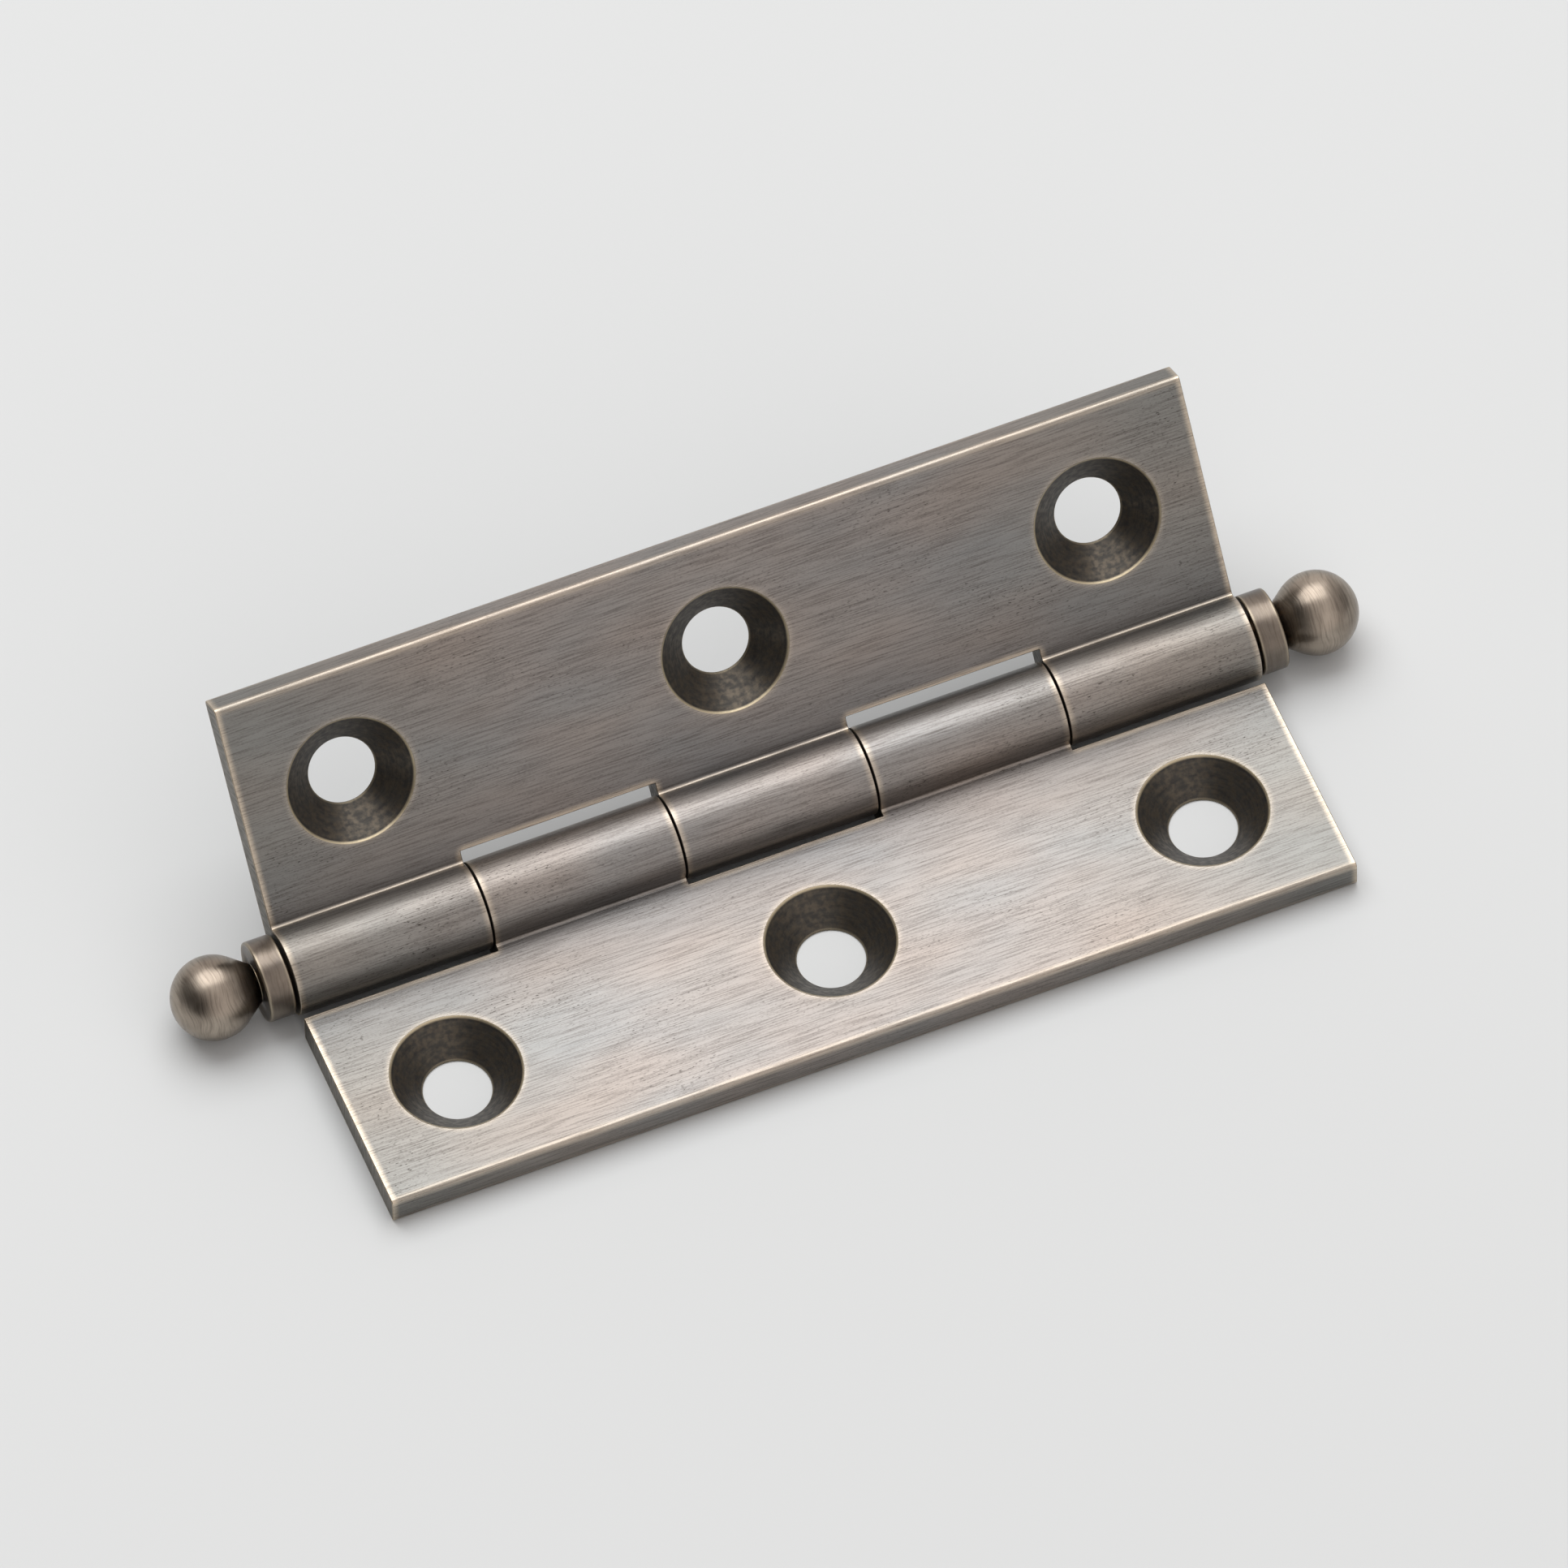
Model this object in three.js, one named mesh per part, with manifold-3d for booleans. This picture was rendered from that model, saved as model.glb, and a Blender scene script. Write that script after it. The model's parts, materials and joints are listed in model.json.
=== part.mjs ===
// Solid-drawn cabinet butt hinge with ball finials. Millimetres, +Z up, hinge axis along X.
// The front leaf lies flat on its back, and the back leaf stands partly open behind it.
// The origin is at the middle of the bottom of the whole hinge's box in that pose.
import * as THREE from "three";
import { mergeVertices } from "three/addons/utils/BufferGeometryUtils.js";
import Module from "manifold-3d";

// Leaves
const leafLength = 64; // along the hinge axis
const leafReach = 17.9; // hinge axis to a leaf's outer edge
const leafThickness = 2.1;
const closedGap = 1.4; // between the two countersunk faces when the hinge is shut
const edgeRadius = 0.3; // rounding on a leaf's long outer edge
const openAngle = 57; // degrees from lying flat to the back leaf's resting pose

// Knuckles
const knuckleCount = 5;
const knuckleRadius = 2.78;
const knuckleGap = 0.12; // along the axis, between neighbours
const frontNotchClearance = 0.36; // radial, between the front leaf and the back leaf's knuckles
const backNotchClearance = 0.73; // radial, between the back leaf and the front leaf's knuckles

// Screw holes
const holesPerLeaf = 3;
const holeRadius = 2.15;
const countersinkRadius = 4.15; // at the face, of a 90 degree cone
const holeReach = 10.45; // hinge axis to the row of holes
const endHoleInset = 7.2; // leaf end to the nearest hole's centre

// Pin, collars and finials
const pinRadius = 1.2;
const tightClearance = 0.02; // pin in the back leaf's knuckles and in the collars
const runningClearance = 0.06; // pin in the front leaf's knuckles
const spigotRadius = 0.7; // the pin's reduced end, which holds the finial
const spigotLength = 2.5;
const spigotEndGap = 0.2; // between the spigot's end and the bottom of its bore
const collarRadius = 2.6;
const collarLength = 1.7;
const collarGap = 0.2; // end knuckle to collar
const collarChamfer = 0.12;
const seatGap = 0.05; // collar to finial
const neckLip = 0.05; // how far the finial's neck stands out past the pin, so that it seats on the collar
const ballRadius = 2.68;
const ballStandoff = 2.77; // finial's seat to the ball's centre

// Fineness of the faceted solids
const roundSides = 40;
const boreSides = 32;
const edgeSteps = 4;
const ballSteps = 12;
const cutMargin = 1; // how far a cutter runs past what it cuts
const joinMargin = 0.5; // how far two joined solids run into each other

// Levels in a leaf's own frame: the axis is at zero and Y runs out to the leaf's edge
const faceLevel = -closedGap / 2;
const backLevel = faceLevel - leafThickness;
const knucklePitch = leafLength / knuckleCount;
const pinHalfLength = leafLength / 2 + collarGap + collarLength;
const neckRadius = pinRadius + neckLip;

const wasm = await Module();
wasm.setup();

// Turns a closed geometry into a manifold solid.
function toSolid(geometry) {
  const bare = geometry.index ? geometry.toNonIndexed() : geometry.clone();
  bare.deleteAttribute("normal");
  bare.deleteAttribute("uv");
  const merged = mergeVertices(bare);
  return new wasm.Manifold(
    new wasm.Mesh({
      numProp: 3,
      vertProperties: merged.attributes.position.array,
      triVerts: new Uint32Array(merged.index.array),
    }),
  );
}

// Turns a manifold solid back into a geometry.
function toGeometry(solid) {
  const mesh = solid.getMesh();
  const geometry = new THREE.BufferGeometry();
  geometry.setAttribute("position", new THREE.BufferAttribute(mesh.vertProperties, 3));
  geometry.setIndex(new THREE.BufferAttribute(mesh.triVerts, 1));
  geometry.computeVertexNormals();
  return geometry;
}

// Extrudes an outline drawn in Y and Z along X, from one place to another.
function extrudeAlongX(outline, from, to) {
  const geometry = new THREE.ExtrudeGeometry(outline, {
    depth: to - from,
    bevelEnabled: false,
    curveSegments: edgeSteps,
  });
  const turn = new THREE.Matrix4().makeBasis(
    new THREE.Vector3(0, 1, 0),
    new THREE.Vector3(0, 0, 1),
    new THREE.Vector3(1, 0, 0),
  );
  return geometry.applyMatrix4(turn).translate(from, 0, 0);
}

// Turns a profile of [radius, place along the axis] about X.
function turnAboutX(profile, sides) {
  const points = profile.map(([radius, along]) => new THREE.Vector2(radius, along));
  return new THREE.LatheGeometry(points, sides).rotateZ(-Math.PI / 2);
}

// A plain cylinder on the hinge axis.
function roundBar(radius, from, to, sides) {
  const profile = [
    [0, from],
    [radius, from],
    [radius, to],
    [0, to],
  ];
  return turnAboutX(profile, sides);
}

// The leaf's plate, outside the notches, with both long outer edges rounded.
function plateOutline(notchReach) {
  const inner = leafReach - edgeRadius;
  const outline = new THREE.Shape();
  outline.moveTo(notchReach, backLevel);
  outline.lineTo(inner, backLevel);
  outline.absarc(inner, backLevel + edgeRadius, edgeRadius, -Math.PI / 2, 0, false);
  outline.absarc(inner, faceLevel - edgeRadius, edgeRadius, 0, Math.PI / 2, false);
  outline.lineTo(notchReach, faceLevel);
  outline.closePath();
  return outline;
}

// The short piece of plate that carries a knuckle.
function rootOutline(notchReach) {
  const outline = new THREE.Shape();
  outline.moveTo(0, backLevel);
  outline.lineTo(notchReach + joinMargin, backLevel);
  outline.lineTo(notchReach + joinMargin, faceLevel);
  outline.lineTo(0, faceLevel);
  outline.closePath();
  return outline;
}

// A knuckle's two ends; a knuckle at a leaf's end is flush with it.
function knuckleSpan(index) {
  const start = -leafLength / 2 + index * knucklePitch;
  const end = start + knucklePitch;
  return [
    index === 0 ? start : start + knuckleGap / 2,
    index === knuckleCount - 1 ? end : end - knuckleGap / 2,
  ];
}

// The cutter for one countersunk hole, with its axis along Z.
function countersinkCutter(x) {
  const coneDepth = countersinkRadius - holeRadius;
  const profile = [
    [0, backLevel - cutMargin],
    [holeRadius, backLevel - cutMargin],
    [holeRadius, faceLevel - coneDepth],
    [countersinkRadius, faceLevel],
    [countersinkRadius, faceLevel + cutMargin],
    [0, faceLevel + cutMargin],
  ];
  const points = profile.map(([radius, along]) => new THREE.Vector2(radius, along));
  return new THREE.LatheGeometry(points, roundSides).rotateX(Math.PI / 2).translate(x, holeReach, 0);
}

// A leaf with the knuckles of the given indices, notched for the other leaf's.
function leafGeometry(knuckles, notchClearance, boreRadius) {
  const notchReach = knuckleRadius + notchClearance;
  let solid = toSolid(extrudeAlongX(plateOutline(notchReach), -leafLength / 2, leafLength / 2));
  for (const index of knuckles) {
    const [from, to] = knuckleSpan(index);
    solid = solid.add(toSolid(extrudeAlongX(rootOutline(notchReach), from, to)));
    solid = solid.add(toSolid(roundBar(knuckleRadius, from, to, roundSides)));
  }
  const boreEnd = leafLength / 2 + cutMargin;
  solid = solid.subtract(toSolid(roundBar(boreRadius, -boreEnd, boreEnd, boreSides)));
  const firstHole = -leafLength / 2 + endHoleInset;
  const holePitch = (leafLength - 2 * endHoleInset) / (holesPerLeaf - 1);
  for (let hole = 0; hole < holesPerLeaf; hole += 1) {
    solid = solid.subtract(toSolid(countersinkCutter(firstHole + hole * holePitch)));
  }
  return toGeometry(solid);
}

// The pin, from end to end, with a reduced spigot at each end.
function pinGeometry() {
  const tip = pinHalfLength + spigotLength;
  const profile = [
    [0, -tip],
    [spigotRadius, -tip],
    [spigotRadius, -pinHalfLength],
    [pinRadius, -pinHalfLength],
    [pinRadius, pinHalfLength],
    [spigotRadius, pinHalfLength],
    [spigotRadius, tip],
    [0, tip],
  ];
  return turnAboutX(profile, boreSides);
}

// A collar beyond the leaf's right end, chamfered on its two outer rims.
function collarGeometry() {
  const bore = pinRadius + tightClearance;
  const start = leafLength / 2 + collarGap;
  const end = start + collarLength;
  const profile = [
    [bore, start],
    [collarRadius - collarChamfer, start],
    [collarRadius, start + collarChamfer],
    [collarRadius, end - collarChamfer],
    [collarRadius - collarChamfer, end],
    [bore, end],
    [bore, start],
  ];
  return turnAboutX(profile, boreSides);
}

// A finial beyond the right collar: a ball on a short cone that meets it at a tangent, with a blind bore.
function finialGeometry() {
  const seat = pinHalfLength + seatGap;
  const centre = seat + ballStandoff;
  const bore = spigotRadius + tightClearance;
  const boreEnd = pinHalfLength + spigotLength + spigotEndGap;
  const neckAngle = Math.PI - Math.atan2(neckRadius, ballStandoff);
  const tangentAngle = neckAngle - Math.acos(ballRadius / Math.hypot(neckRadius, ballStandoff));
  const profile = [
    [0, boreEnd],
    [bore, boreEnd],
    [bore, seat],
    [neckRadius, seat],
  ];
  for (let step = 0; step < ballSteps; step += 1) {
    const angle = tangentAngle * (1 - step / ballSteps);
    profile.push([ballRadius * Math.sin(angle), centre + ballRadius * Math.cos(angle)]);
  }
  profile.push([0, centre + ballRadius]);
  return turnAboutX(profile, boreSides);
}

// Finishes: an aged bronze patina over brass, rubbed lighter on the flat faces
function agedBronze(color, roughness) {
  return new THREE.MeshStandardMaterial({ color, roughness, metalness: 1 });
}

function namedMesh(name, geometry, material) {
  const mesh = new THREE.Mesh(geometry, material);
  mesh.name = name;
  return mesh;
}

const frontKnuckles = [];
const backKnuckles = [];
for (let index = 0; index < knuckleCount; index += 1) {
  (index % 2 === 0 ? backKnuckles : frontKnuckles).push(index);
}

const frontShape = leafGeometry(frontKnuckles, frontNotchClearance, pinRadius + runningClearance);
const frontLeaf = namedMesh("front_leaf", frontShape, agedBronze(0x8f8a80, 0.42));
frontLeaf.rotation.z = Math.PI;

// What turns together about the pin: the back leaf and all that is tight on the pin
const swinging = new THREE.Group();
swinging.rotation.x = THREE.MathUtils.degToRad(openAngle);
const backShape = leafGeometry(backKnuckles, backNotchClearance, pinRadius + tightClearance);
swinging.add(namedMesh("back_leaf", backShape, agedBronze(0x6f6760, 0.4)));
swinging.add(namedMesh("hinge_pin", pinGeometry(), agedBronze(0x857a66, 0.35)));
for (const [side, turn] of [["right", 0], ["left", Math.PI]]) {
  const end = new THREE.Group();
  end.rotation.z = turn;
  end.add(namedMesh(`${side}_collar`, collarGeometry(), agedBronze(0x7b7068, 0.38)));
  end.add(namedMesh(`${side}_finial`, finialGeometry(), agedBronze(0x857b6e, 0.36)));
  swinging.add(end);
}

const hinge = new THREE.Group();
hinge.add(frontLeaf, swinging);
const box = new THREE.Box3().setFromObject(hinge, true);
const middle = box.getCenter(new THREE.Vector3());
hinge.position.set(-middle.x, -middle.y, -box.min.z);

export default hinge;
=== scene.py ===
import bpy
import bmesh
import json
import math
from mathutils import Euler, Matrix, Vector


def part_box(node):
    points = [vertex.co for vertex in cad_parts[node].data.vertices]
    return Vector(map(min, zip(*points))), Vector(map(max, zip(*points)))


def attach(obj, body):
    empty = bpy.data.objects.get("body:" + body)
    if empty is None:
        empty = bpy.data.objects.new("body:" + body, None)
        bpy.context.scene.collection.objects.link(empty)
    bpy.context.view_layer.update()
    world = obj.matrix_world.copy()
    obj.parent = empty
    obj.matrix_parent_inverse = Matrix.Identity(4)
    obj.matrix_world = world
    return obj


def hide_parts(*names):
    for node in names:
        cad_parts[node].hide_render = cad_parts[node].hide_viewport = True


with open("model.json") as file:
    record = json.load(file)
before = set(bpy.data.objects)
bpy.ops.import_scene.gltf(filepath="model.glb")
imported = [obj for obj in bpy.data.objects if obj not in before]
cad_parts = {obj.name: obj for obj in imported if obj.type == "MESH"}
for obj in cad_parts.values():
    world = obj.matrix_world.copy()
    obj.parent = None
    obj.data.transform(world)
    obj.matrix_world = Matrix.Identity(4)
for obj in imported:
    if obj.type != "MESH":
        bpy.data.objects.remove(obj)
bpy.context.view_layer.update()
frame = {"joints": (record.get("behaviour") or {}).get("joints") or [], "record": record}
mm = 0.001

# What the frame says about the hinge. A leaf is drawn lying along Y, with the pin's axis along X.
pinAxis = Vector(frame["joints"][0]["pos_m"])
mounts = {mount["name"]: mount for mount in frame["record"]["mounts"]}
facePlace = mounts["front_leaf_face"]["pos_m"]
raisedNormal = Vector(mounts["back_leaf_face"]["axis"])
openAngle = math.atan2(-raisedNormal.y, raisedNormal.z)
frontTurn = Euler((0, 0, math.pi))
backTurn = Euler((openAngle, 0, 0))
frontLow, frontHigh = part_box("front_leaf")
collarLow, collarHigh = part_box("right_collar")
finialLow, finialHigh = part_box("right_finial")
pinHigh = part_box("hinge_pin")[1]
print("frame loaded")

leaf = {  # millimetres
    "half": frontHigh.x / mm,
    "reach": (pinAxis.y - frontLow.y) / mm,
    "face": (facePlace[2] - pinAxis.z) / mm,
    "back": (frontLow.z - pinAxis.z) / mm,
    "knuckle": (frontHigh.z - pinAxis.z) / mm,
    "edgeRadius": 0.3,
    "rootFillet": 0.2,  # where the face runs into the barrel
    "knuckles": 5,
    "knuckleGap": 0.12,
    "frontNotch": 3.14,  # pin to the far wall of a notch
    "backNotch": 3.51,
    "frontBore": 1.26,
    "backBore": 1.22,
    "holes": 3,
    "holeReach": (pinAxis.y - facePlace[1]) / mm,
    "holePitch": 24.8,
    "holeRadius": 2.15,
    "sinkRadius": 4.15,
    "arris": 0.06,  # how wide the broken edges are
    "arrisAngle": 35,
    "arrisSteps": 2,
    "sliver": 0.02,  # corners closer than this are joined
    "barrelSteps": 112,
    "filletSteps": 6,
    "edgeSteps": 8,
    "holeSteps": 96,
    "boreSteps": 64,
    "overrun": 1,  # how far a cutter runs on past the metal
    "frontRootHighlight": 0.05,  # how bright the painted highlight along the root fillet is
    "backRootHighlight": 0.36,
}
finishSlots = {"brushed": 0, "sunk": 1, "sawn": 2}  # the order of a leaf's materials


def linear(hexColour):
    parts = [int(hexColour[i : i + 2], 16) / 255 for i in (1, 3, 5)]
    return [p / 12.92 if p <= 0.04045 else ((p + 0.055) / 1.055) ** 2.4 for p in parts] + [1]


# Adds a node. Its inputs come in order or by name: a socket is linked, a hex colour or a number is set.
def addNode(tree, kind, inputs=(), **settings):
    made = tree.nodes.new("ShaderNode" + kind)
    for key, value in settings.items():
        setattr(made, key, value)
    for key, value in inputs.items() if isinstance(inputs, dict) else enumerate(inputs):
        if isinstance(value, bpy.types.NodeSocket):
            tree.links.new(value, made.inputs[key])
        else:
            made.inputs[key].default_value = linear(value) if isinstance(value, str) else value
    return made.outputs


# Noise with cells of that many mm each way. The span says which of its values become 0 and 1, or the two that
# come after them. Nearly all of it lies within the usual span.
def cells(tree, place, size, detail=2, span=(0.3, 0.7)):
    scaled = addNode(tree, "VectorMath", (place, size), operation="DIVIDE")[0]
    noise = addNode(tree, "TexNoise", {"Vector": scaled, "Scale": 1, "Detail": detail})[0]
    return addNode(tree, "MapRange", (noise, *span))[0]


def placeOnPiece(tree, turn):  # mm from the pin's middle, in the leaf's own directions
    spot = addNode(tree, "TexCoord")["Object"]
    inputs = {"Vector": spot, "Location": pinAxis, "Rotation": turn, "Scale": (mm, mm, mm)}
    return addNode(tree, "Mapping", inputs, vector_type="TEXTURE")[0]


corners = {  # how open a spot is where wear or dirt starts, and where it is full
    "wear": (0.95, 0.55),
    "dirt": (0.8, 0.2),
    "samples": 4,
}


def wornEdge(tree, reach, amount=1):  # that much on an outer corner, fading to 0 so many mm away
    settings = {"inside": True, "samples": corners["samples"]}
    openness = addNode(tree, "AmbientOcclusion", {"Distance": reach * mm}, **settings)["AO"]
    return addNode(tree, "MapRange", (openness, *corners["wear"], 0, amount))[0]


def dirtyCorner(tree, reach, amount):  # the same in an inner corner
    settings = {"samples": corners["samples"]}
    openness = addNode(tree, "AmbientOcclusion", {"Distance": reach * mm}, **settings)["AO"]
    return addNode(tree, "MapRange", (openness, *corners["dirt"], 0, amount))[0]


def startMaterial(name):
    made = bpy.data.materials.new(name)
    made.use_nodes = True
    made.node_tree.nodes.clear()
    return made.node_tree


def bronzeMaterial(name, colour, coats, roughness, height, finish):  # each coat goes over the ones before it
    made = bpy.data.materials[name]
    tree = made.node_tree
    for amount, coat in coats:
        colour = addNode(tree, "Mix", {0: amount, 6: colour, 7: coat}, data_type="RGBA")[2]
    inputs = {"Strength": 1, "Distance": finish["depth"] * mm, "Height": height}
    bump = addNode(tree, "Bump", inputs)[0]
    tangent = addNode(tree, "Tangent", direction_type="UV_MAP", uv_map="grain")[0]
    inputs = {
        "Base Color": colour,
        "Metallic": finish["metallic"],
        "Roughness": roughness,
        "Anisotropic": finish["anisotropy"],
        "Normal": bump,
        "Tangent": tangent,
    }
    shader = addNode(tree, "BsdfPrincipled", inputs)[0]
    addNode(tree, "OutputMaterial", {"Surface": shader})
    return made


brushed = {
    "dark": "#7f7875",
    "light": "#9a938e",
    "cool": "#828a8c",
    "warm": "#9c8d81",
    "tintAmount": 0.45,
    "ends": "#747773",
    "endsAmount": 0.55,
    "endsFrom": 13,  # the middle of a leaf is rubbed more than its ends
    "paintedShade": "#5f6062",  # painted shade: the face darker and greyer beside the barrel, standing in for the barrel's shadow and reflection
    "shadeAmount": 0.55,
    "shadeStart": (-0.1, 0.2),  # mm out from the barrel's side
    "shadeEnd": 8.5,
    "line": "#4a4441",
    "pit": "#332e2b",
    # bare metal on worn corners, also the colour of the painted highlight along the root
    "rubbed": "#d4c5b0",
    "grime": "#40362d",
    "grimeAmount": 0.2,
    "lineSize": (2.6, 0.085, 0.085),  # mm along and across, like the size of every pattern here
    "lineSpan": (0.62, 0.1, 0, 0.55),
    "broadSize": (9, 0.35, 0.35),
    "broadShare": 0.3,  # of the broad lines in the tone, beside the cloud
    "toothSize": (0.16, 0.1, 0.1),
    "toothShare": 0.25,
    "scratchSize": (6, 0.07, 0.07),
    "scratchSpan": (0.62, 0.7, 0, 0.5),
    "cloudSize": (14, 8, 8),
    "tintSize": (16, 7, 7),
    "pitSize": (0.3, 0.09, 0.09),
    "pitSpan": (0.6, 0.74),
    "patchSize": (9, 5, 5),  # pits come in patches
    "patchSpan": (0.35, 0.7),
    "wear": 0.48,
    "wearBreaks": (0, 0.6, 0.5, 0.95),  # the lines break up the worn corners
    "barrelWear": 0.7,  # the knuckles' corners are less worn than the leaf's
    "barrelFade": 1,
    "rootBreaks": (0, 0.6, 0.4, 1),
    "dirt": 0.8,
    "roughness": (0.34, 0.42),
    "wornPolish": 0.14,
    "depth": 0.003,
    "metallic": 1,
    "anisotropy": 0.4,
}


# Aged bronze, brushed along the leaf: brass under a thin brown to grey oxide, cut by fine broken lines
def brushedBronze(name, turn, rootHighlightAmount):
    tree = startMaterial(name)
    place = placeOnPiece(tree, turn)
    along, out, up = addNode(tree, "SeparateXYZ", (place,))
    barrel = leaf["knuckle"]
    lines = cells(tree, place, brushed["lineSize"], 3)

    # the oxide, darker at the leaf's ends, and painted shade beside the barrel
    broad = cells(tree, place, brushed["broadSize"])
    cloud = cells(tree, place, brushed["cloudSize"], 3)
    tone = addNode(tree, "Mix", {0: brushed["broadShare"], 2: cloud, 3: broad})[0]
    tint = cells(tree, place, brushed["tintSize"])
    tints = addNode(tree, "Mix", {0: tint, 6: brushed["cool"], 7: brushed["warm"]}, data_type="RGBA")[2]
    fromMiddle = addNode(tree, "Math", (along,), operation="ABSOLUTE")[0]
    span = (brushed["endsFrom"], leaf["half"], 0, brushed["endsAmount"])
    ends = addNode(tree, "MapRange", (fromMiddle, *span))[0]
    beside = addNode(tree, "MapRange", (out, barrel, brushed["shadeEnd"], brushed["shadeAmount"], 0))[0]
    shadeLow, shadeHigh = brushed["shadeStart"]
    offBarrel = addNode(tree, "MapRange", (out, barrel + shadeLow, barrel + shadeHigh))[0]
    paintedShade = addNode(tree, "Math", (beside, offBarrel), operation="MULTIPLY")[0]

    # brushed lines, scratches, pits and grime
    tooth = cells(tree, place, brushed["toothSize"])
    marks = addNode(tree, "Mix", {0: brushed["toothShare"], 2: lines, 3: tooth})[0]
    marks = addNode(tree, "MapRange", (marks, *brushed["lineSpan"]))[0]
    scratches = cells(tree, place, brushed["scratchSize"], span=brushed["scratchSpan"])
    pits = cells(tree, place, brushed["pitSize"], span=brushed["pitSpan"])
    patches = cells(tree, place, brushed["patchSize"], span=brushed["patchSpan"])
    pits = addNode(tree, "Math", (pits, patches), operation="MULTIPLY")[0]
    dirt = dirtyCorner(tree, brushed["dirt"], brushed["grimeAmount"])

    # bare metal on the corners
    breaks = addNode(tree, "MapRange", (lines, *brushed["wearBreaks"]))[0]
    span = (barrel, barrel + brushed["barrelFade"], brushed["barrelWear"], 1)
    outward = addNode(tree, "MapRange", (out, *span))[0]
    worn = wornEdge(tree, brushed["wear"])
    worn = addNode(tree, "Math", (worn, breaks), operation="MULTIPLY")[0]
    worn = addNode(tree, "Math", (worn, outward), operation="MULTIPLY")[0]

    # and a painted highlight: a bright line along the root, on the side where the face runs into the barrel,
    # standing in for the softbox's reflection in the fillet
    fillet = leaf["rootFillet"]
    offRoot = addNode(tree, "Math", (up, leaf["face"] + fillet / 2), operation="SUBTRACT")[0]
    offRoot = addNode(tree, "Math", (offRoot,), operation="ABSOLUTE")[0]
    paintedRootHighlight = addNode(tree, "MapRange", (offRoot, fillet / 2, fillet / 4, 0, rootHighlightAmount))[0]
    leafSide = addNode(tree, "Math", (out, 0), operation="GREATER_THAN")[0]
    paintedRootHighlight = addNode(tree, "Math", (paintedRootHighlight, leafSide), operation="MULTIPLY")[0]
    breaks = addNode(tree, "MapRange", (lines, *brushed["rootBreaks"]))[0]
    paintedRootHighlight = addNode(tree, "Math", (paintedRootHighlight, breaks), operation="MULTIPLY")[0]

    coats = (
        (tone, brushed["light"]),
        (brushed["tintAmount"], tints),
        (ends, brushed["ends"]),
        # painted shade beside the barrel
        (paintedShade, brushed["paintedShade"]),
        (marks, brushed["line"]),
        (scratches, brushed["line"]),
        (pits, brushed["pit"]),
        (dirt, brushed["grime"]),
        (worn, brushed["rubbed"]),
        # the painted highlight along the root, in the worn-metal colour
        (paintedRootHighlight, brushed["rubbed"]),
    )
    roughness = addNode(tree, "MapRange", (cloud, 0, 1, *brushed["roughness"]))[0]
    polish = addNode(tree, "Math", (worn, brushed["wornPolish"]), operation="MULTIPLY")[0]
    roughness = addNode(tree, "Math", (roughness, polish), operation="SUBTRACT")[0]
    height = addNode(tree, "Math", (lines, pits), operation="SUBTRACT")[0]
    return bronzeMaterial(name, brushed["dark"], coats, roughness, height, brushed)


sunk = {
    "dark": "#353331",
    "light": "#45423d",
    "glow": "#7a6c58",
    "glowAmount": 0.25,
    "rubbed": "#c9bb9e",
    "ringSize": (0.15, 0.6, 1),  # mm between the rings, drawn coarser than real, and radians round the hole
    "patchSize": (0.35, 0.35, 0.35),
    "patchSpan": (0.4, 0.65),
    "wear": 0.2,
    "wearAmount": 0.3,
    "rimWidth": 0.15,
    "rimReach": 1,  # mm outside the countersink where the rim's wear stops
    "rimWear": 0.85,
    "roughness": (0.44, 0.34),
    "depth": 0.006,
    "metallic": 0.7,  # the patina is thick enough here to hide some of the metal
    "anisotropy": 0.3,
}


# Countersinks and notches: as the tool left them, under the full dark patina, with rings round each hole
def sunkBronze(name, turn):
    tree = startMaterial(name)
    place = placeOnPiece(tree, turn)
    parts = addNode(tree, "SeparateXYZ", (place,))
    halfPitch = leaf["holePitch"] / 2
    across = addNode(tree, "Math", (parts[0], halfPitch, -halfPitch), operation="WRAP")[0]
    out = addNode(tree, "Math", (parts[1], leaf["holeReach"]), operation="SUBTRACT")[0]
    fromHole = addNode(tree, "CombineXYZ", (across, out))[0]
    radius = addNode(tree, "VectorMath", (fromHole,), operation="LENGTH")["Value"]
    bearing = addNode(tree, "Math", (across, out), operation="ARCTAN2")[0]
    bearing = addNode(tree, "Math", (bearing,), operation="ABSOLUTE")[0]
    ringPlace = addNode(tree, "CombineXYZ", (radius, bearing))[0]
    rings = cells(tree, ringPlace, sunk["ringSize"])
    patches = cells(tree, place, sunk["patchSize"], 3, sunk["patchSpan"])
    glow = addNode(tree, "Math", (patches, sunk["glowAmount"]), operation="MULTIPLY")[0]
    rimStart = leaf["sinkRadius"] - sunk["rimWidth"]
    rimFull = leaf["sinkRadius"] - leaf["arris"]
    rim = addNode(tree, "MapRange", (radius, rimStart, rimFull, 0, sunk["rimWear"]))[0]
    nearRim = addNode(tree, "Math", (radius, leaf["sinkRadius"] + sunk["rimReach"]), operation="LESS_THAN")[0]
    rim = addNode(tree, "Math", (rim, nearRim), operation="MULTIPLY")[0]
    coats = (
        (rings, sunk["light"]),
        (glow, sunk["glow"]),
        (wornEdge(tree, sunk["wear"], sunk["wearAmount"]), sunk["rubbed"]),
        (rim, sunk["rubbed"]),
    )
    roughness = addNode(tree, "MapRange", (patches, 0, 1, *sunk["roughness"]))[0]
    return bronzeMaterial(name, sunk["dark"], coats, roughness, rings, sunk)


sawn = {
    "dark": "#4d4a43",
    "light": "#77726a",
    "rubbed": "#c3b193",
    "toothSize": (0.2, 0.2, 1.5),
    "wear": 0.2,
    "roughness": (0.5, 0.4),
    "depth": 0.01,
    "metallic": 1,
    "anisotropy": 0,
}


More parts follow.
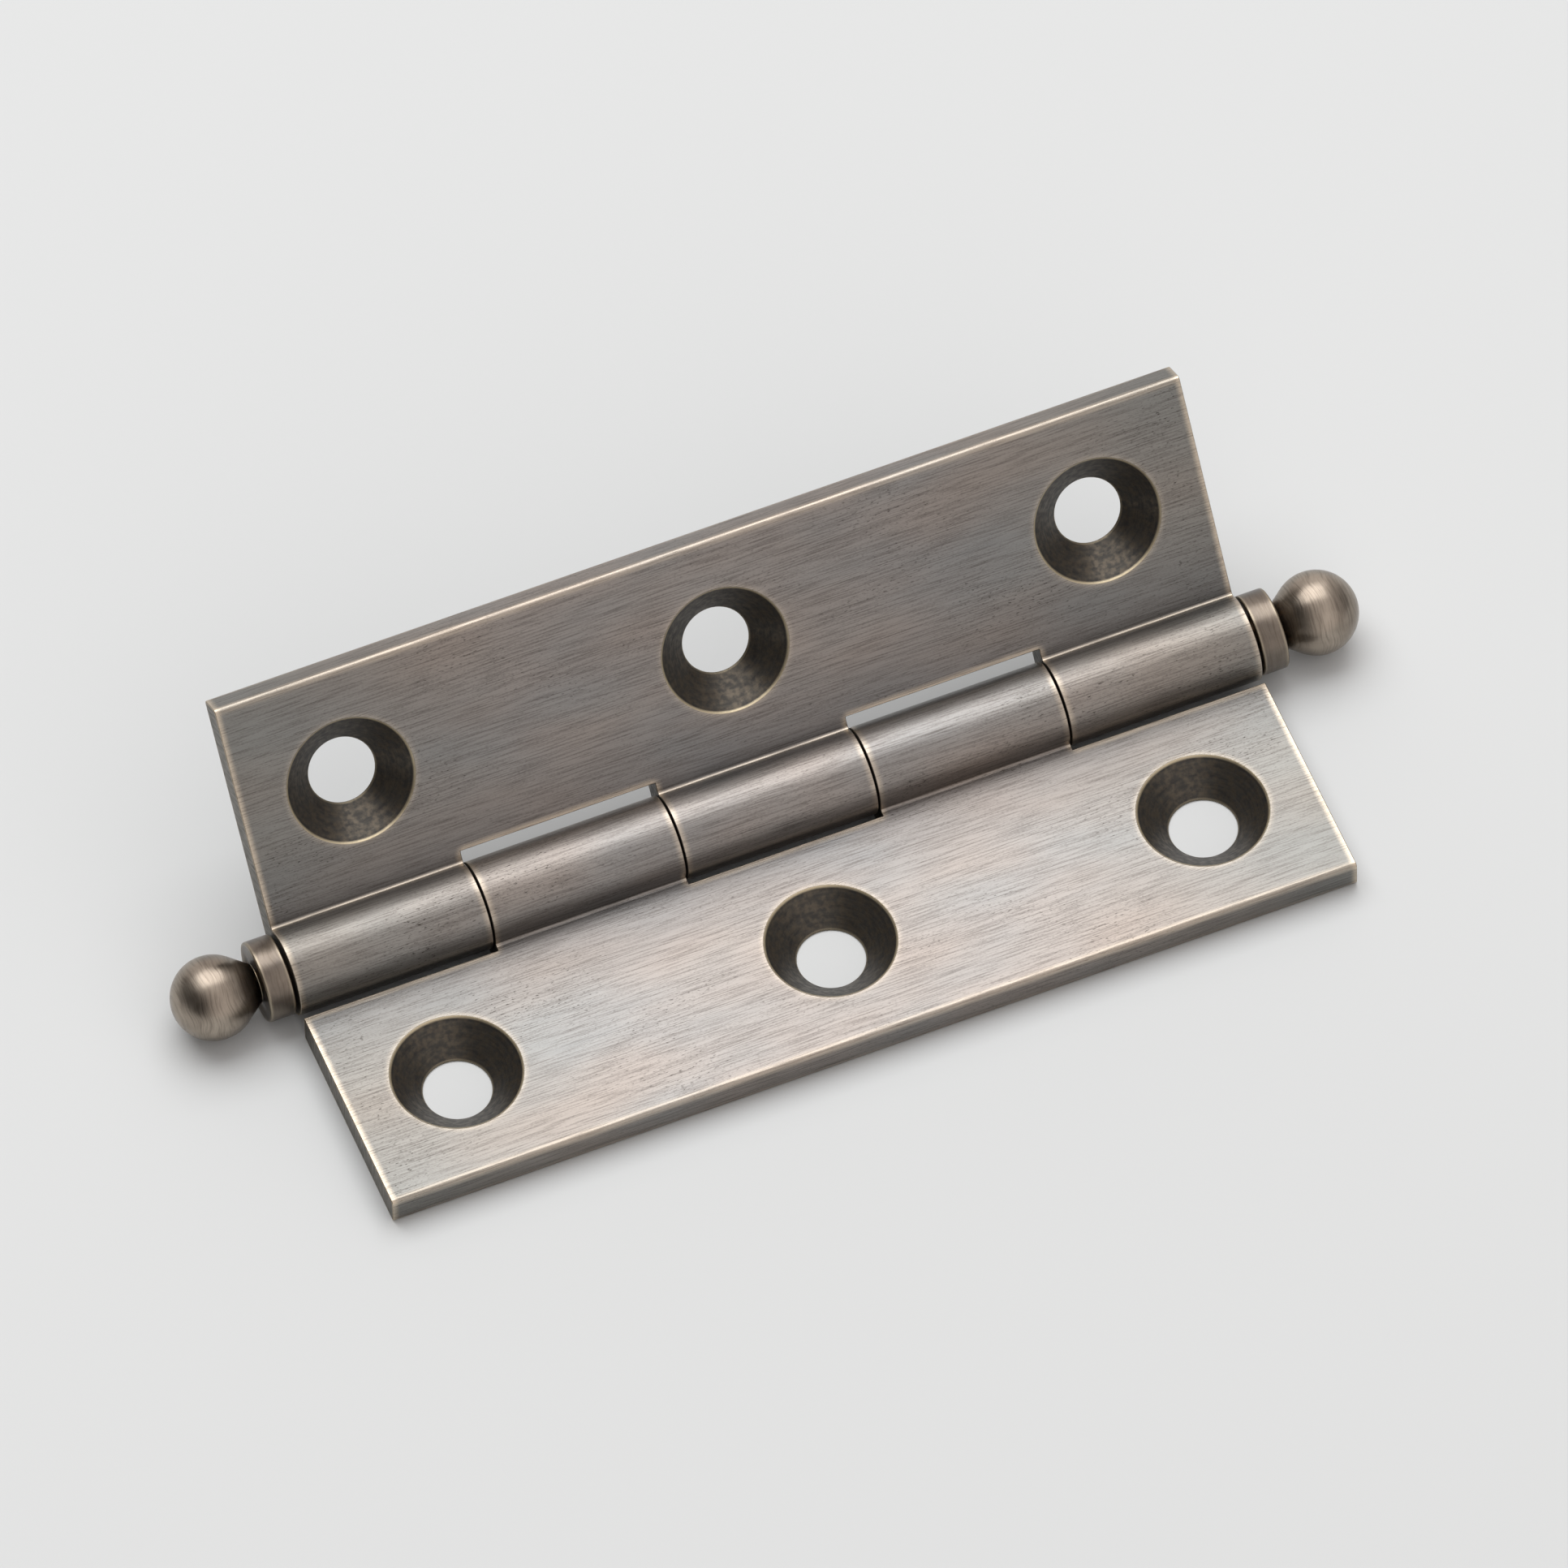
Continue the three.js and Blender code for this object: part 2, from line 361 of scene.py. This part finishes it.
# Leaf and knuckle ends: cut off square with a saw, so dull, with marks from back to face
def sawnBronze(name, turn):
    tree = startMaterial(name)
    place = placeOnPiece(tree, turn)
    marks = cells(tree, place, sawn["toothSize"], 3)
    coats = ((marks, sawn["light"]), (wornEdge(tree, sawn["wear"]), sawn["rubbed"]))
    roughness = addNode(tree, "MapRange", (marks, 0, 1, *sawn["roughness"]))[0]
    return bronzeMaterial(name, sawn["dark"], coats, roughness, marks, sawn)


turned = {
    "collarTones": ("#5e5751", "#857b70"),
    "finialTones": ("#857b70", "#a89d90"),
    "line": "#564d44",
    "lineSize": (0.1, 1.6, 1.6),  # mm along the pin and round it
    "lineSpan": (0.6, 0, 0, 0.45),
    "swaySize": (2.5, 2.5, 2.5),
    "swaySpan": (0.3, 0.7, 0, 0.4),  # the lines wander by up to the last of these, in mm
    "rubbed": "#cfc2a8",
    "grime": "#2a2119",
    "grimeAmount": 0.8,
    "crust": "#80603a",  # dried polish and verdigris caught round the necks
    "crustSize": (0.35, 0.35, 0.35),
    "crustSpan": (0.5, 0.65),
    "cloudSize": (2.2, 2.2, 2.2),
    "wear": 0.25,
    "wearAmount": 0.7,
    "dirt": 0.8,
    "roughness": (0.28, 0.38),
    "depth": 0.004,
    "metallic": 1,
    "anisotropy": 0.15,
}


# Collars and balls: lathe-turned, then polished by hand, so fine lines run round them and brass glows through
def turnedBronze(name, dark, light):
    tree = startMaterial(name)
    place = placeOnPiece(tree, backTurn)
    sway = cells(tree, place, turned["swaySize"], 1, turned["swaySpan"])
    shift = addNode(tree, "CombineXYZ", (sway,))[0]
    bent = addNode(tree, "VectorMath", (place, shift), operation="ADD")[0]
    lines = cells(tree, bent, turned["lineSize"], 3)
    marks = addNode(tree, "MapRange", (lines, *turned["lineSpan"]))[0]
    cloud = cells(tree, place, turned["cloudSize"], 3)
    crust = cells(tree, place, turned["crustSize"], span=turned["crustSpan"])
    soil = addNode(tree, "Mix", {0: crust, 6: turned["grime"], 7: turned["crust"]}, data_type="RGBA")[2]
    coats = (
        (cloud, light),
        (marks, turned["line"]),
        (dirtyCorner(tree, turned["dirt"], turned["grimeAmount"]), soil),
        (wornEdge(tree, turned["wear"], turned["wearAmount"]), turned["rubbed"]),
    )
    roughness = addNode(tree, "MapRange", (cloud, 0, 1, *turned["roughness"]))[0]
    return bronzeMaterial(name, dark, coats, roughness, lines, turned)


def newPiece(name, bm, materials):
    mesh = bpy.data.meshes.new(name)
    bm.to_mesh(mesh)
    bm.free()
    for material in materials:
        mesh.materials.append(material)
    piece = bpy.data.objects.new(name, mesh)
    bpy.context.collection.objects.link(piece)
    return piece


def addPoint(bm, chain, place):  # an outline's next corner, joined to the one before
    point = bm.verts.new(place)
    if chain:
        bm.edges.new((chain[-1], point))
    chain.append(point)


def addArc(bm, chain, centre, axis, angle, steps):  # swings the outline's end round a centre
    swung = bmesh.ops.spin(bm, geom=[chain[-1]], cent=centre, axis=axis, angle=angle, steps=steps)
    chain.append(next(item for item in swung["geom_last"] if isinstance(item, bmesh.types.BMVert)))


weldGap = 0.0001  # mm


def turnOutline(bm, centre, axis, steps):  # spins an outline into a closed solid
    ring = bm.verts[:] + bm.edges[:]
    bmesh.ops.spin(bm, geom=ring, cent=centre, axis=axis, angle=2 * math.pi, steps=steps, use_merge=True)
    bmesh.ops.remove_doubles(bm, verts=bm.verts, dist=weldGap)
    bmesh.ops.recalc_face_normals(bm, faces=bm.faces)


def settle(piece):  # makes what the modifiers show the piece's own mesh
    shown = piece.evaluated_get(bpy.context.evaluated_depsgraph_get())
    mesh = bpy.data.meshes.new_from_object(shown)
    piece.modifiers.clear()
    piece.data = mesh


def cutAway(piece, cutter):
    knife = piece.modifiers.new("knife", "BOOLEAN")
    knife.operation = "DIFFERENCE"
    knife.solver = "EXACT"
    knife.material_mode = "TRANSFER"
    knife.object = cutter
    settle(piece)
    bpy.data.objects.remove(cutter)


def mergeSlivers(piece, size):  # joins corners that the cutters left too close together to bevel
    bm = bmesh.new()
    bm.from_mesh(piece.data)
    bmesh.ops.remove_doubles(bm, verts=bm.verts, dist=size)
    bmesh.ops.dissolve_degenerate(bm, dist=size, edges=bm.edges)
    bm.to_mesh(piece.data)
    bm.free()


def breakEdges(piece):  # takes the sharpness off every corner, as tumbling and handling do
    bevel = piece.modifiers.new("arris", "BEVEL")
    bevel.width = leaf["arris"]
    bevel.segments = leaf["arrisSteps"]
    bevel.use_clamp_overlap = False
    bevel.limit_method = "ANGLE"
    bevel.angle_limit = math.radians(leaf["arrisAngle"])
    piece.modifiers.new("flats", "WEIGHTED_NORMAL").keep_sharp = False
    settle(piece)


def intoPlace(piece, turn):
    piece.data.transform(Matrix.Translation(pinAxis) @ turn.to_matrix().to_4x4() @ Matrix.Scale(mm, 4))
    piece.data.update()


def leafSection(bm):  # one drawn section: barrel, then the face, the outer edge and the back
    barrel, fillet, corner = leaf["knuckle"], leaf["rootFillet"], leaf["edgeRadius"]
    filletLevel = leaf["face"] + fillet
    filletOut = math.sqrt((barrel + fillet) ** 2 - filletLevel**2)
    lift = math.atan2(-filletLevel, filletOut)  # how far below level the barrel meets the fillet
    inner = leaf["reach"] - corner
    alongX = (1, 0, 0)
    quarter = math.pi / 2
    chain = []
    addPoint(bm, chain, (0, 0, -barrel))
    addArc(bm, chain, (0, 0, 0), alongX, -3 * quarter - lift, leaf["barrelSteps"])
    addArc(bm, chain, (0, filletOut, filletLevel), alongX, quarter + lift, leaf["filletSteps"])
    addPoint(bm, chain, (0, inner, leaf["face"]))
    addArc(bm, chain, (0, inner, leaf["face"] - corner), alongX, -quarter, leaf["edgeSteps"])
    addPoint(bm, chain, (0, leaf["reach"], leaf["back"] + corner))
    addArc(bm, chain, (0, inner, leaf["back"] + corner), alongX, -quarter, leaf["edgeSteps"])
    addPoint(bm, chain, (0, corner, leaf["back"]))
    bm.edges.new((chain[-1], chain[0]))
    bmesh.ops.contextual_create(bm, geom=bm.edges[:])


def notchCutter(own, notchReach, material):  # clears the barrel where the other leaf's knuckles go
    bm = bmesh.new()
    pitch = 2 * leaf["half"] / leaf["knuckles"]
    depth = 2 * (leaf["knuckle"] + leaf["overrun"])
    last = leaf["knuckles"] - 1
    for index in range(leaf["knuckles"]):
        if index % 2 == own:
            continue
        before = leaf["overrun"] if index == 0 else leaf["knuckleGap"] / 2
        after = leaf["overrun"] if index == last else leaf["knuckleGap"] / 2
        start = -leaf["half"] + index * pitch - before
        end = -leaf["half"] + (index + 1) * pitch + after
        middle = Vector(((start + end) / 2, (notchReach - depth) / 2, 0))
        size = Vector((end - start, notchReach + depth, 2 * depth))
        bmesh.ops.create_cube(bm, size=1, matrix=Matrix.LocRotScale(middle, None, size))
    return newPiece("notchCutter", bm, [material])


def boreCutter(radius, material):
    bm = bmesh.new()
    lay = Matrix.Rotation(math.pi / 2, 4, "Y")
    length = 2 * (leaf["half"] + leaf["overrun"])
    sizes = {"segments": leaf["boreSteps"], "radius1": radius, "radius2": radius, "depth": length}
    bmesh.ops.create_cone(bm, cap_ends=True, matrix=lay, **sizes)
    return newPiece("boreCutter", bm, [material])


def holeCutter(index, material):
    bm = bmesh.new()
    x = (index - (leaf["holes"] - 1) / 2) * leaf["holePitch"]
    y = leaf["holeReach"]
    below = leaf["back"] - leaf["overrun"]
    above = leaf["face"] + leaf["overrun"]
    throat = leaf["face"] - (leaf["sinkRadius"] - leaf["holeRadius"])  # the sides slope at 45 degrees
    chain = []
    addPoint(bm, chain, (x, y, below))
    addPoint(bm, chain, (x + leaf["holeRadius"], y, below))
    addPoint(bm, chain, (x + leaf["holeRadius"], y, throat))
    addPoint(bm, chain, (x + leaf["sinkRadius"], y, leaf["face"]))
    addPoint(bm, chain, (x + leaf["sinkRadius"], y, above))
    addPoint(bm, chain, (x, y, above))
    turnOutline(bm, (x, y, 0), (0, 0, 1), leaf["holeSteps"])
    return newPiece("holeCutter", bm, [material])


def layGrain(piece, grooveAlong):  # a UV map whose U runs square to the tool marks on each face
    bm = bmesh.new()
    bm.from_mesh(piece.data)
    layer = bm.loops.layers.uv.new("grain")
    for face in bm.faces:
        face.smooth = True
        along = grooveAlong(face)
        across = face.normal.cross(along).normalized()
        for loop in face.loops:
            loop[layer].uv = (loop.vert.co.dot(across), loop.vert.co.dot(along))
    bm.to_mesh(piece.data)
    bm.free()


facing = {"square": 0.9, "mostly": 0.7, "hardly": 0.1}  # how far a face's normal points along an axis


def leafGroove(face):
    upright = Vector((0, 0, 1))
    if face.material_index == finishSlots["sunk"] and abs(face.normal.z) < facing["square"]:
        return face.normal.cross(upright).normalized()
    return upright if abs(face.normal.x) > facing["mostly"] else Vector((1, 0, 0))


def makeLeaf(name, turn, own, notchReach, bore, rootHighlightAmount):
    brushedFinish = brushedBronze(name + "Brushed", turn, rootHighlightAmount)
    sunkFinish = sunkBronze(name + "Sunk", turn)
    sawnFinish = sawnBronze(name + "Sawn", turn)
    bm = bmesh.new()
    leafSection(bm)
    drawn = bmesh.ops.extrude_face_region(bm, geom=bm.faces[:])
    moved = [item for item in drawn["geom"] if isinstance(item, bmesh.types.BMVert)]
    bmesh.ops.translate(bm, verts=moved, vec=(2 * leaf["half"], 0, 0))
    bmesh.ops.translate(bm, verts=bm.verts, vec=(-leaf["half"], 0, 0))
    bmesh.ops.recalc_face_normals(bm, faces=bm.faces)
    for face in bm.faces:
        end = abs(face.normal.x) > facing["square"]
        face.material_index = finishSlots["sawn" if end else "brushed"]
    piece = newPiece(name, bm, [brushedFinish, sunkFinish, sawnFinish])
    cutAway(piece, notchCutter(own, notchReach, sunkFinish))
    cutAway(piece, boreCutter(bore, sunkFinish))
    for index in range(leaf["holes"]):
        cutAway(piece, holeCutter(index, sunkFinish))
    mergeSlivers(piece, leaf["sliver"])
    layGrain(piece, leafGroove)
    breakEdges(piece)
    intoPlace(piece, turn)
    return piece


frontSizes = (leaf["frontNotch"], leaf["frontBore"], leaf["frontRootHighlight"])
frontLeaf = makeLeaf("frontLeafDrawn", frontTurn, 1, *frontSizes)
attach(frontLeaf, "front_leaf_body")
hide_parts("front_leaf")
backSizes = (leaf["backNotch"], leaf["backBore"], leaf["backRootHighlight"])
backLeaf = makeLeaf("backLeafDrawn", backTurn, 0, *backSizes)
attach(backLeaf, "back_leaf_body")
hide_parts("back_leaf")
print("leaves drawn, milled and countersunk")

pin = {  # millimetres, as for the collars and finials
    "radius": 1.2,
    "spigot": 0.7,
    "shoulder": finialLow.x / mm - 0.05,  # just short of the finial's seat
    "tip": pinHigh.x / mm,
    "steps": 64,
}
collar = {
    "radius": (collarHigh.z - collarLow.z) / mm / 2,
    "bore": 1.22,
    "start": collarLow.x / mm,
    "end": collarHigh.x / mm,
    "corner": 0.12,
    "cornerSteps": 5,
    "steps": 96,
}
finial = {
    "ball": (finialHigh.z - finialLow.z) / mm / 2,
    "end": finialHigh.x / mm,
    "seat": finialLow.x / mm,
    "neck": 1.25,
    "bore": 0.72,
    "boreEnd": pinHigh.x / mm + 0.2,  # a little deeper than the spigot
    "ballSteps": 48,
    "steps": 96,
}


def turnedGroove(face):
    hoop = face.normal.cross(Vector((1, 0, 0)))
    return hoop.normalized() if hoop.length > facing["hardly"] else Vector((0, 1, 0))


def finishTurned(name, bm, steps, material, side):
    if side < 0:
        bmesh.ops.rotate(bm, verts=bm.verts, cent=(0, 0, 0), matrix=Matrix.Rotation(math.pi, 3, "Z"))
    turnOutline(bm, (0, 0, 0), (1, 0, 0), steps)
    piece = newPiece(name, bm, [material])
    layGrain(piece, turnedGroove)
    piece.modifiers.new("flats", "WEIGHTED_NORMAL").keep_sharp = False
    settle(piece)
    intoPlace(piece, backTurn)
    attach(piece, "back_leaf_body")
    return piece


def makeCollar(name, side, material):
    bm = bmesh.new()
    level = collar["radius"] - collar["corner"]
    first = collar["start"] + collar["corner"]
    last = collar["end"] - collar["corner"]
    bend = {"axis": (0, 1, 0), "angle": math.pi / 2, "steps": collar["cornerSteps"]}
    chain = []
    addPoint(bm, chain, (collar["start"], 0, collar["bore"]))
    addPoint(bm, chain, (collar["start"], 0, level))
    addArc(bm, chain, (first, 0, level), **bend)
    addPoint(bm, chain, (last, 0, collar["radius"]))
    addArc(bm, chain, (last, 0, level), **bend)
    addPoint(bm, chain, (collar["end"], 0, collar["bore"]))
    bm.edges.new((chain[-1], chain[0]))
    return finishTurned(name, bm, collar["steps"], material, side)


def makeFinial(name, side, material):
    bm = bmesh.new()
    ball = finial["ball"]
    centre = finial["end"] - ball
    reach = math.hypot(centre - finial["seat"], finial["neck"])
    # the angle, from the pin's line, at which the neck's straight side touches the ball
    touch = math.atan2(finial["neck"], centre - finial["seat"]) + math.acos(ball / reach)
    chain = []
    addPoint(bm, chain, (finial["boreEnd"], 0, 0))
    addPoint(bm, chain, (finial["boreEnd"], 0, finial["bore"]))
    addPoint(bm, chain, (finial["seat"], 0, finial["bore"]))
    addPoint(bm, chain, (finial["seat"], 0, finial["neck"]))
    addPoint(bm, chain, (centre - ball * math.cos(touch), 0, ball * math.sin(touch)))
    addArc(bm, chain, (centre, 0, 0), (0, 1, 0), math.pi - touch, finial["ballSteps"])
    return finishTurned(name, bm, finial["steps"], material, side)


def makePin(material):
    bm = bmesh.new()
    chain = []
    addPoint(bm, chain, (-pin["tip"], 0, 0))
    addPoint(bm, chain, (-pin["tip"], 0, pin["spigot"]))
    addPoint(bm, chain, (-pin["shoulder"], 0, pin["spigot"]))
    addPoint(bm, chain, (-pin["shoulder"], 0, pin["radius"]))
    addPoint(bm, chain, (pin["shoulder"], 0, pin["radius"]))
    addPoint(bm, chain, (pin["shoulder"], 0, pin["spigot"]))
    addPoint(bm, chain, (pin["tip"], 0, pin["spigot"]))
    addPoint(bm, chain, (pin["tip"], 0, 0))
    return finishTurned("pinTurned", bm, pin["steps"], material, 1)


collarFinish = turnedBronze("collarTurnedBronze", *turned["collarTones"])
finialFinish = turnedBronze("finialPolishedBronze", *turned["finialTones"])
pinPiece = makePin(collarFinish)
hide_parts("hinge_pin")
for sideName, side in (("right", 1), ("left", -1)):
    ring = makeCollar(sideName + "CollarTurned", side, collarFinish)
    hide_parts(sideName + "_collar")
    knob = makeFinial(sideName + "FinialTurned", side, finialFinish)
    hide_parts(sideName + "_finial")
print("pin, collars and finials turned")

softbox = {  # metres
    "towards": (0.02, 0.40, 0.89),
    "distance": 0.9,
    "size": (1.04, 0.73),
    "radiance": 2.7,
}


def addSoftbox(name):
    light = bpy.data.lights.new(name, "AREA")
    light.shape = "RECTANGLE"
    wide, deep = softbox["size"]
    light.size = wide
    light.size_y = deep
    light.energy = softbox["radiance"] * wide * deep * math.pi  # a panel's watts for that radiance
    lamp = bpy.data.objects.new(name, light)
    direction = Vector(softbox["towards"]).normalized()
    aim = direction.to_track_quat("Z", "Y").to_matrix().to_4x4()
    lamp.matrix_world = Matrix.Translation(pinAxis + direction * softbox["distance"]) @ aim
    bpy.context.collection.objects.link(lamp)


room = {
    "colour": "#fff9f6",
    "middle": 0.98,  # how bright the walls and ceiling are along the middle and to either side
    "side": 0.06,
    "middleAt": 0.2,
    "middleEnd": 0.35,
    "sideStart": 0.86,
}


def lightRoom(name):  # a pale ceiling and front wall with darker side walls
    world = bpy.data.worlds.new(name)
    bpy.context.scene.world = world
    world.use_nodes = True
    tree = world.node_tree
    background = tree.nodes["Background"]
    towards = addNode(tree, "TexCoord")["Generated"]
    sideways = addNode(tree, "SeparateXYZ", (towards,))[0]
    aside = addNode(tree, "Math", (sideways, room["middleAt"]), operation="SUBTRACT")[0]
    aside = addNode(tree, "Math", (aside,), operation="ABSOLUTE")[0]
    ends = (room["middleEnd"], room["sideStart"], room["middle"], room["side"])
    tree.links.new(addNode(tree, "MapRange", (aside, *ends))[0], background.inputs["Strength"])
    background.inputs["Color"].default_value = linear(room["colour"])


paper = {
    "colour": "#d0d3d4",
    "size": 1.6,  # metres
    "drop": 0.00002,  # a hair under the leaf, so that the two faces don't flicker where they meet
}


def mattePaper(name):  # paper scatters light evenly, so nothing shows in it
    tree = startMaterial(name)
    shader = addNode(tree, "BsdfDiffuse", {"Color": paper["colour"]})[0]
    addNode(tree, "OutputMaterial", {"Surface": shader})
    return bpy.data.materials[name]


addSoftbox("keySoftbox")
lightRoom("dimRoom")
bm = bmesh.new()
bmesh.ops.create_grid(bm, x_segments=1, y_segments=1, size=paper["size"] / 2)
bmesh.ops.translate(bm, verts=bm.verts, vec=(0, 0, -paper["drop"]))
floor = newPiece("paperFloor", bm, [mattePaper("mattePaper")])
print("floor and lights set")

view = {  # degrees, metres, and the lens in millimetres
    "azimuth": -20.41,
    "elevation": 56.09,
    "roll": -2.08,
    "distance": 1.8477,
    "aside": 0.001073,
    "above": 0.001258,
    "near": 0.1,
    "far": 10,
    "lens": 687.7,
    "sensor": 36,
}


def addCamera():
    camera = bpy.data.cameras.new("camera")
    camera.lens = view["lens"]
    camera.sensor_width = view["sensor"]
    camera.clip_start = view["near"]
    camera.clip_end = view["far"]
    azimuth = math.radians(view["azimuth"])
    elevation = math.radians(view["elevation"])
    level = Vector((math.cos(azimuth), math.sin(azimuth), 0))
    flat = math.cos(elevation)
    back = Vector((math.sin(azimuth) * flat, -math.cos(azimuth) * flat, math.sin(elevation)))
    lean = Matrix.Rotation(math.radians(view["roll"]), 3, back)
    right = lean @ level
    up = lean @ back.cross(level)
    holder = bpy.data.objects.new("camera", camera)
    holder.matrix_world = Matrix((right, up, back)).transposed().to_4x4()
    holder.location = pinAxis + back * view["distance"] + right * view["aside"] + up * view["above"]
    bpy.context.collection.objects.link(holder)
    bpy.context.scene.camera = holder


addCamera()
bpy.context.scene.view_settings.view_transform = "Standard"
print("camera set")
